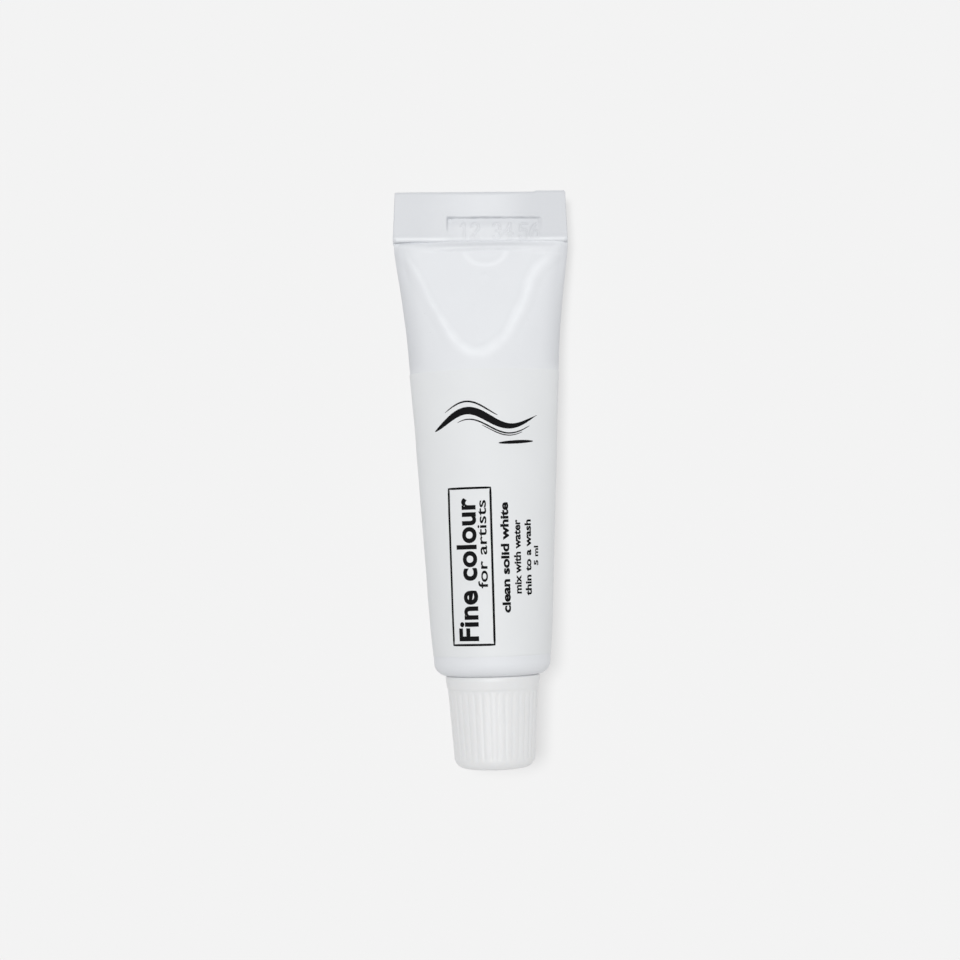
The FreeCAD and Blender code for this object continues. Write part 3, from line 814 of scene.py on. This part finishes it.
# domed, slightly swirled mouth of paste just inside the orifice
for k in np.linspace(1.0, 0.04, 16)[1:]:
    r = 1.56 * k
    dome = -9.15 - 0.36 * (1 - k ** 2.2) - 0.10 * math.exp(-(k / 0.22) ** 2)
    sv = dome + 0.035 * np.sin(2 * UP + 5.5 * k) * (1 - k) * k * 4 + 0.02 * noise(UP * 9 / (2 * math.pi), np.full(PC, 6 * k), 9)
    prow.append(world(r * np.cos(UP), sv, r * np.sin(UP)))
paint = grid_mesh("paint_paste", np.array(prow))
tidy(paint)

# ------------------------------------------------------------------ cap
CC = 576
UC = np.linspace(0, 2 * math.pi, CC, endpoint=False)
RIBS = 36
crow = []


def cap_row(s, r, rib=0.0, wobble=0.0):
    """Rib 0..1 sinks fine grooves between rounded ribs."""
    g = (0.5 - 0.5 * np.cos(RIBS * UC)) ** 2.2
    rr = r - 0.052 * rib * g
    sv = np.full(CC, s)
    crow.append(world(rr * np.cos(UC), sv, rr * np.sin(UC)))


# outside, rim to end
for s, r in [(-1.870, 4.72), (-1.762, 5.18), (-1.752, 5.26), (-1.775, 5.34), (-1.83, 5.41), (-1.93, 5.450),
             (-2.18, 5.455), (-2.38, 5.434), (-2.68, 5.385), (-2.94, 5.335), (-3.13, 5.30), (-3.23, 5.275), (-3.30, 5.242)]:
    cap_row(s, r)
for s in np.arange(-3.37, -11.09, -0.13):
    base = 5.225 + (s + 3.12) * (5.225 - 4.665) / (11.09 - 3.12)
    cap_row(s, base, rib=float(smooth(-3.35, -3.80, s) * (1 - smooth(-10.75, -11.3, s) * 0.55)))
r_end, c_s = 1.25, -11.09
r_c = 4.665 - r_end
for a in np.linspace(0, 88, 18)[1:]:
    q = math.radians(a)
    rib = 0.45 * float(1 - smooth(0, 60, a))
    cap_row(c_s - r_end * math.sin(q), r_c + r_end * math.cos(q), rib=rib)
for r in (3.25, 3.10, 2.9, 2.3, 1.6):
    cap_row(-12.34, r)
# a small moulding gate mark in the middle of the end
for s, r in [(-12.34, 0.95), (-12.30, 0.86), (-12.27, 0.78), (-12.27, 0.50), (-12.30, 0.40), (-12.32, 0.25)]:
    cap_row(s, r)
n_out = len(crow)
cap_outer = crow
crow = []
# inside, end wall back to the rim
for s, r in [(-10.45, 0.3), (-10.45, 1.5), (-10.45, 2.6), (-10.45, 3.4), (-10.42, 3.54), (-10.34, 3.58)]:
    cap_row(s, r)
for s in np.arange(-10.3, -3.16, 0.055):
    sv = np.full(CC, s)
    rr = 3.60 - (3.60 - 3.13) * thread(sv, UC, -9.5, 5.6, 0.30, 0.12)
    crow.append(world(rr * np.cos(UC), sv, rr * np.sin(UC)))
for s, r in [(-3.12, 3.62), (-3.05, 3.75), (-2.90, 4.15), (-2.80, 4.45), (-2.73, 4.56), (-2.6, 4.62),
             (-2.3, 4.64), (-1.98, 4.66)]:
    cap_row(s, r)
cap_rows = crow[::-1]
# one closed skin: inside wall, over the rim, outside and the end
all_rows = cap_rows[::-1] + cap_outer
cap = grid_mesh("screw_cap", np.array(all_rows))
tidy(cap)

# ---------------------------------------------------------------- liner
LC = 128
UL = np.linspace(0, 2 * math.pi, LC, endpoint=False)
lrow = []
for s, r in [(-9.925, 0.4), (-9.93, 1.2), (-9.935, 1.62), (-9.965, 1.72), (-9.975, 2.0), (-9.975, 2.45), (-9.96, 2.62),
             (-9.935, 2.75), (-9.93, 3.2), (-9.94, 3.42), (-9.98, 3.49), (-10.06, 3.515),
             (-10.34, 3.515), (-10.40, 3.49), (-10.42, 3.40), (-10.42, 2.0), (-10.42, 0.4)]:
    wob = 0.006 * noise(UL * 17 / (2 * math.pi), np.full(LC, r * 2), 17)
    lrow.append(world(r * np.cos(UL), np.full(LC, s) + wob, r * np.sin(UL)))
liner = grid_mesh("cap_liner_disc", np.array(lrow))
tidy(liner)

# ------------------------------------------------------------- materials


def material(name, color, rough, coat=0.0, sss=0.0, bumps=(), tint=None, metallic=0.0,
             rough_var=0.06, spec=0.5, specks=0.0):
    """Procedural surface: noise-driven colour, roughness and bump layers.

    bumps: (kind, scale per metre, strength, distance in metres)."""
    m = bpy.data.materials.new(name)
    m.use_nodes = True
    nt = m.node_tree
    nt.nodes.clear()
    out = nt.nodes.new("ShaderNodeOutputMaterial")
    b = nt.nodes.new("ShaderNodeBsdfPrincipled")
    nt.links.new(b.outputs[0], out.inputs[0])
    b.inputs["Metallic"].default_value = metallic
    b.inputs["Specular IOR Level"].default_value = spec
    if coat:
        b.inputs["Coat Weight"].default_value = coat
        b.inputs["Coat Roughness"].default_value = 0.18
    if sss:
        b.inputs["Subsurface Weight"].default_value = sss
        b.inputs["Subsurface Radius"].default_value = (0.0012, 0.0011, 0.0010)
        b.inputs["Subsurface Scale"].default_value = 1.0
    co = nt.nodes.new("ShaderNodeTexCoord")

    def tex(kind, scale, detail=3.0):
        n = nt.nodes.new("ShaderNodeTexNoise" if kind == "noise" else "ShaderNodeTexVoronoi")
        n.inputs["Scale"].default_value = scale
        if kind == "noise":
            n.inputs["Detail"].default_value = detail
        nt.links.new(co.outputs["Object"], n.inputs["Vector"])
        return n
    # colour
    ramp = nt.nodes.new("ShaderNodeMix")
    ramp.data_type = "RGBA"
    dark = tint or tuple(c * 0.965 for c in color)
    ramp.inputs[6].default_value = (*dark, 1)
    ramp.inputs[7].default_value = (*color, 1)
    cn = tex("noise", 260.0, 4.0)
    nt.links.new(cn.outputs[0], ramp.inputs[0])
    color_out = ramp.outputs[2]
    if specks:
        sp = tex("noise", 2600.0, 1.0)
        thr = nt.nodes.new("ShaderNodeMapRange")
        thr.inputs["From Min"].default_value = 0.74
        thr.inputs["From Max"].default_value = 0.80
        thr.inputs["To Min"].default_value = 0.0
        thr.inputs["To Max"].default_value = specks
        nt.links.new(sp.outputs[0], thr.inputs["Value"])
        mx = nt.nodes.new("ShaderNodeMix")
        mx.data_type = "RGBA"
        mx.inputs[7].default_value = (color[0] * 0.55, color[1] * 0.55, color[2] * 0.56, 1)
        nt.links.new(thr.outputs[0], mx.inputs[0])
        nt.links.new(color_out, mx.inputs[6])
        color_out = mx.outputs[2]
    nt.links.new(color_out, b.inputs["Base Color"])
    # roughness
    rn = tex("noise", 700.0, 3.0)
    rr = nt.nodes.new("ShaderNodeMapRange")
    rr.inputs["To Min"].default_value = max(0.02, rough - rough_var)
    rr.inputs["To Max"].default_value = min(1.0, rough + rough_var)
    nt.links.new(rn.outputs[0], rr.inputs["Value"])
    nt.links.new(rr.outputs[0], b.inputs["Roughness"])
    last = None
    for kind, scale, strength, dist in bumps:
        n = tex(kind, scale)
        bp = nt.nodes.new("ShaderNodeBump")
        bp.inputs["Strength"].default_value = strength
        bp.inputs["Distance"].default_value = dist
        nt.links.new(n.outputs[0], bp.inputs["Height"])
        if last is not None:
            nt.links.new(last.outputs[0], bp.inputs["Normal"])
        last = bp
    if last is not None:
        nt.links.new(last.outputs[0], b.inputs["Normal"])
    return m


M_TUBE = material("white_enamel", (0.792, 0.808, 0.834), 0.54, spec=0.28,
                  bumps=(("noise", 420.0, 0.35, 0.00006), ("noise", 2400.0, 0.18, 0.00002)), specks=0.10)
M_LABEL = material("white_label_film", (0.795, 0.810, 0.822), 0.54, spec=0.30,
                   bumps=(("noise", 300.0, 0.30, 0.00005), ("noise", 3800.0, 0.22, 0.000015)), specks=0.05)
M_INK = material("black_print", (0.0025, 0.0025, 0.003), 0.75, tint=(0.006, 0.006, 0.007), spec=0.12,
                 bumps=(("noise", 5200.0, 0.20, 0.00001),))
M_CAP = material("white_cap_plastic", (0.815, 0.820, 0.826), 0.40, sss=0.15,
                 bumps=(("noise", 1700.0, 0.22, 0.00002), ("voronoi", 5200.0, 0.10, 0.00001)))
M_LINER = material("foamed_liner", (0.78, 0.78, 0.76), 0.75, sss=0.1,
                   bumps=(("voronoi", 6000.0, 0.5, 0.00004),))
M_PAINT = material("wet_white_paste", (0.86, 0.86, 0.845), 0.16, coat=0.6, sss=0.2,
                   bumps=(("noise", 900.0, 0.35, 0.00005),))
M_SEAL = material("latex_seal", (0.55, 0.53, 0.46), 0.6, bumps=(("noise", 3000.0, 0.4, 0.00002),))


def give(ob, mat):
    ob.data.materials.clear()
    ob.data.materials.append(mat)


def paint_light_marks(ob):
    """Painted highlights on the tongue's rim and flat, the dimple's lip, the fold's bead and a shoulder line, and
    painted grey shade along the folded edges, crease, window and flanks.
    """
    co = np.zeros(len(ob.data.vertices) * 3)
    ob.data.vertices.foreach_get("co", co)
    p = co.reshape(-1, 3) * 1000.0 - ORIGIN
    x, s, t = p @ XDIR, p @ SDIR, p @ TDIR
    val = np.zeros(len(x))
    # painted highlight on the tongue's rim, its flat and the dimple's lower lip
    sel = (s > 33.4) & (s < 48.8) & (t > 0.6)
    if sel.any():
        d = tongue_depth(x[sel], s[sel], TONGUE_LINE)
        side = smooth(-6.5, -2.0, x[sel])
        m = np.exp(-((d - 0.45 - 0.25 * side) / (0.42 + 0.25 * side)) ** 2)
        m *= 0.55 + 0.45 * side
        m *= 1 - 0.5 * smooth(45.5, 47.5, s[sel])
        m *= 1 + 0.25 * noise(x[sel] * 1.1, s[sel] * 1.1)
        e = np.hypot((x[sel] - 0.50) / 2.40, (s[sel] - 47.75) / 1.80)
        m = np.maximum(m, 0.75 * np.exp(-((e - 1.0) / 0.20) ** 2) * (1 - smooth(47.3, 47.9, s[sel])))
        m = np.maximum(m, 0.22 * smooth(0.6, 1.4, d))
        val[sel] = np.clip(m, 0, 1)
    # painted highlight along the fold's lower bead
    u = x * math.cos(SKEW) + (s - MID) * math.sin(SKEW)
    w = MID + (s - MID) * math.cos(SKEW) - x * math.sin(SKEW)
    front = t > 0.40
    mid = smooth(-4.4, -3.4, u) * (1 - smooth(5.6, 6.8, u))
    bead = np.exp(-((w - 49.02) / 0.27) ** 2) * front
    val = np.maximum(val, bead * (1 - 0.6 * mid))
    # painted highlight along the shoulder line where the walls leave the fold
    rise = np.exp(-((w - 47.35) / 0.30) ** 2) * smooth(4.0, 8.0, u) * (1 - smooth(9.2, 9.9, u)) * (t > 0.5)
    val = np.maximum(val, 0.55 * rise)
    # painted shade: top edge, side edges and the ends of the fold
    shade_mask = np.zeros(len(x))
    top = 54.65 + 0.13 * smooth(6.45, 6.75, u)
    band = smooth(48.9, 49.3, w) * front
    shade_mask = np.maximum(shade_mask, smooth(top - 0.42, top - 0.08, w) * 0.62)
    edge = smooth(9.70, 10.10, np.abs(u)) * smooth(48.6, 49.0, w)
    shade_mask = np.maximum(shade_mask, 0.55 * edge)
    ends = np.maximum(0.42 * (1 - smooth(-8.0, 0.5, u)), 0.54 * smooth(1.0, 6.6, u))
    shade_mask = np.maximum(shade_mask, ends * band * (1 - bead))
    # painted shade in the crease above the bead
    crease = np.exp(-((w - 48.45) / 0.30) ** 2) * front * (0.30 + 0.25 * np.exp(-((u - 0.8) / 4.5) ** 2))
    shade_mask = np.maximum(shade_mask, crease)
    # painted shade along the stamped window's top wall and inside it
    inside = smooth(-4.1, -3.8, u) * (1 - smooth(6.4, 7.3, u)) * front
    line = np.exp(-((w - 51.66) / 0.16) ** 2) * (0.75 + 0.25 * noise(u * 1.4, u * 0 + 6))
    line = line + 0.5 * np.exp(-((u + 3.6) / 0.35) ** 2 - ((w - 51.5) / 0.35) ** 2)
    shade_mask = np.maximum(shade_mask, inside * np.clip(line, 0, 1))
    shade_mask = np.maximum(shade_mask, inside * 0.40 * smooth(50.2, 51.2, w) * (1 - smooth(51.4, 51.7, w)))
    # painted shade on the window's left wall
    left = np.exp(-((u + 3.86) / 0.14) ** 2) * smooth(49.6, 50.4, w) * (1 - smooth(51.5, 51.8, w)) * front
    shade_mask = np.maximum(shade_mask, 0.6 * left)
    # painted shade on the tube's flanks beside the tongue
    flank = smooth(0.72, 0.99, np.abs(x) / half_w(np.clip(s, 0.9, 49.2))) * smooth(33.0, 34.5, s) * (1 - smooth(48.0, 48.8, s))
    shade_mask = np.maximum(shade_mask, 0.42 * flank)
    for name, v in (("painted_highlight", val), ("painted_shade", shade_mask)):
        at = ob.data.attributes.new(name, "FLOAT", "POINT")
        at.data.foreach_set("value", np.clip(v, 0, 1).astype(np.float32))


def toned(mat, name, color, rough):
    """Mixes a material towards a colour and roughness by a mesh attribute."""
    nt = mat.node_tree
    attr = nt.nodes.new("ShaderNodeAttribute")
    attr.attribute_name = name
    b = next(n for n in nt.nodes if n.type == "BSDF_PRINCIPLED")
    src = b.inputs["Base Color"].links[0].from_socket
    mix = nt.nodes.new("ShaderNodeMix")
    mix.data_type = "RGBA"
    mix.inputs[7].default_value = (*color, 1)
    nt.links.new(attr.outputs["Fac"], mix.inputs[0])
    nt.links.new(src, mix.inputs[6])
    nt.links.new(mix.outputs[2], b.inputs["Base Color"])
    src = b.inputs["Roughness"].links[0].from_socket
    mix = nt.nodes.new("ShaderNodeMix")
    mix.inputs[3].default_value = rough
    nt.links.new(attr.outputs["Fac"], mix.inputs[0])
    nt.links.new(src, mix.inputs[2])
    nt.links.new(mix.outputs[0], b.inputs["Roughness"])


paint_light_marks(tube)
# painted highlight: lightens the enamel's colour where the first mask is set
toned(M_TUBE, "painted_highlight", (0.868, 0.886, 0.912), 0.42)
# painted shade: greys the enamel's colour where the second mask is set
toned(M_TUBE, "painted_shade", (0.600, 0.615, 0.645), 0.55)

# each mesh with its material, body, slot name (not read) and the CAD nodes it replaces
for ob, mat, body, slot, nodes in (
        (tube, M_TUBE, "tube", "tube_enamel", ("tube_body",)),
        (sealant, M_SEAL, "tube", "sealant", ("fold_sealant",)),
        (label, M_LABEL, "tube", "label_film", ("label",)),
        (print_ob, M_INK, "tube", "print_ink", ()),
        (paint, M_PAINT, "tube", "paint_paste", ("paint",)),
        (cap, M_CAP, "cap", "cap_plastic", ("cap",)),
        (liner, M_LINER, "liner", "liner_foam", ("cap_liner",))):
    give(ob, mat)
    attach(ob, body)
    if nodes:
        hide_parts(*nodes)

# ----------------------------------------------------------------- stage
lo, hi = (Vector(c) for c in CAD_BOUNDS)
bm = bmesh.new()
bmesh.ops.create_grid(bm, x_segments=8, y_segments=8, size=1.2)
me = bpy.data.meshes.new("floor")
bm.to_mesh(me)
bm.free()
floor = bpy.data.objects.new("floor", me)
floor.location = (0, 0, lo.z - 0.00002)
bpy.context.scene.collection.objects.link(floor)
M_FLOOR = material("pale_floor", (0.100, 0.100, 0.100), 1.0, tint=(0.099, 0.099, 0.099), spec=0.0)
glow = M_FLOOR.node_tree.nodes["Principled BSDF"]
glow.inputs["Emission Color"].default_value = (1, 1, 1, 1)
glow.inputs["Emission Strength"].default_value = 0.640
give(floor, M_FLOOR)

scene = bpy.context.scene
scene.view_settings.view_transform = "Standard"
scene.view_settings.look = "None"
scene.view_settings.exposure = 0.0
scene.view_settings.gamma = 1.0

w = bpy.data.worlds.new("studio")
w.use_nodes = True
wt = w.node_tree
bg = wt.nodes["Background"]
wc = wt.nodes.new("ShaderNodeTexCoord")
sep = wt.nodes.new("ShaderNodeSeparateXYZ")
up = wt.nodes.new("ShaderNodeMapRange")
up.inputs["From Min"].default_value = 0.0
up.inputs["From Max"].default_value = 0.30
up.inputs["To Min"].default_value = 0.62
up.inputs["To Max"].default_value = 0.46
side = wt.nodes.new("ShaderNodeMapRange")
side.inputs["From Min"].default_value = -1.0
side.inputs["From Max"].default_value = 1.0
side.inputs["To Min"].default_value = 0.88
side.inputs["To Max"].default_value = 1.12
mul = wt.nodes.new("ShaderNodeMath")
mul.operation = "MULTIPLY"
wt.links.new(wc.outputs["Generated"], sep.inputs[0])
wt.links.new(sep.outputs[2], up.inputs["Value"])
wt.links.new(sep.outputs[0], side.inputs["Value"])
wt.links.new(up.outputs[0], mul.inputs[0])
wt.links.new(side.outputs[0], mul.inputs[1])
wt.links.new(mul.outputs[0], bg.inputs["Strength"])
bg.inputs["Color"].default_value = (1.0, 1.0, 1.0, 1)
scene.world = w


def sun(name, tilt_x, tilt_y, strength, angle):
    """A soft distant light: tilt_x leans it to +X, tilt_y to +Y (degrees)."""
    li = bpy.data.lights.new(name, "SUN")
    li.energy = strength
    li.angle = math.radians(angle)
    ob = bpy.data.objects.new(name, li)
    d = Vector((math.tan(math.radians(tilt_x)), math.tan(math.radians(tilt_y)), 1.0)).normalized()
    ob.rotation_euler = d.to_track_quat("Z", "Y").to_euler()
    ob.location = d * 0.8
    scene.collection.objects.link(ob)
    return ob


key = sun("key", -3.0, 9.0, 0.53 * math.pi, 38.0)
# a second soft light that falls on the table only
table = sun("table_light", -9.0, 8.0, 2.16 * math.pi, 17.0)
only = bpy.data.collections.new("table_only")
only.objects.link(floor)
table.light_linking.receiver_collection = only
spare = bpy.data.collections.new("not_table")
spare.objects.link(floor)
key.light_linking.receiver_collection = spare
spare.collection_objects[0].light_linking.link_state = "EXCLUDE"

# ---------------------------------------------------------------- camera
CAM_H = 0.190
FOCAL_PX = 1581.0
cam = bpy.data.cameras.new("camera")
cam.sensor_fit = "HORIZONTAL"
cam.sensor_width = 36.0
cam.lens = 36.0 * FOCAL_PX / 960.0
cam.clip_start = 0.01
cam.clip_end = 10.0
cam_ob = bpy.data.objects.new("camera", cam)
cam_ob.rotation_euler = (0, 0, math.radians(-1.573))
cam_ob.location = (-0.00085, -0.00040, CAM_H)
scene.collection.objects.link(cam_ob)
scene.camera = cam_ob
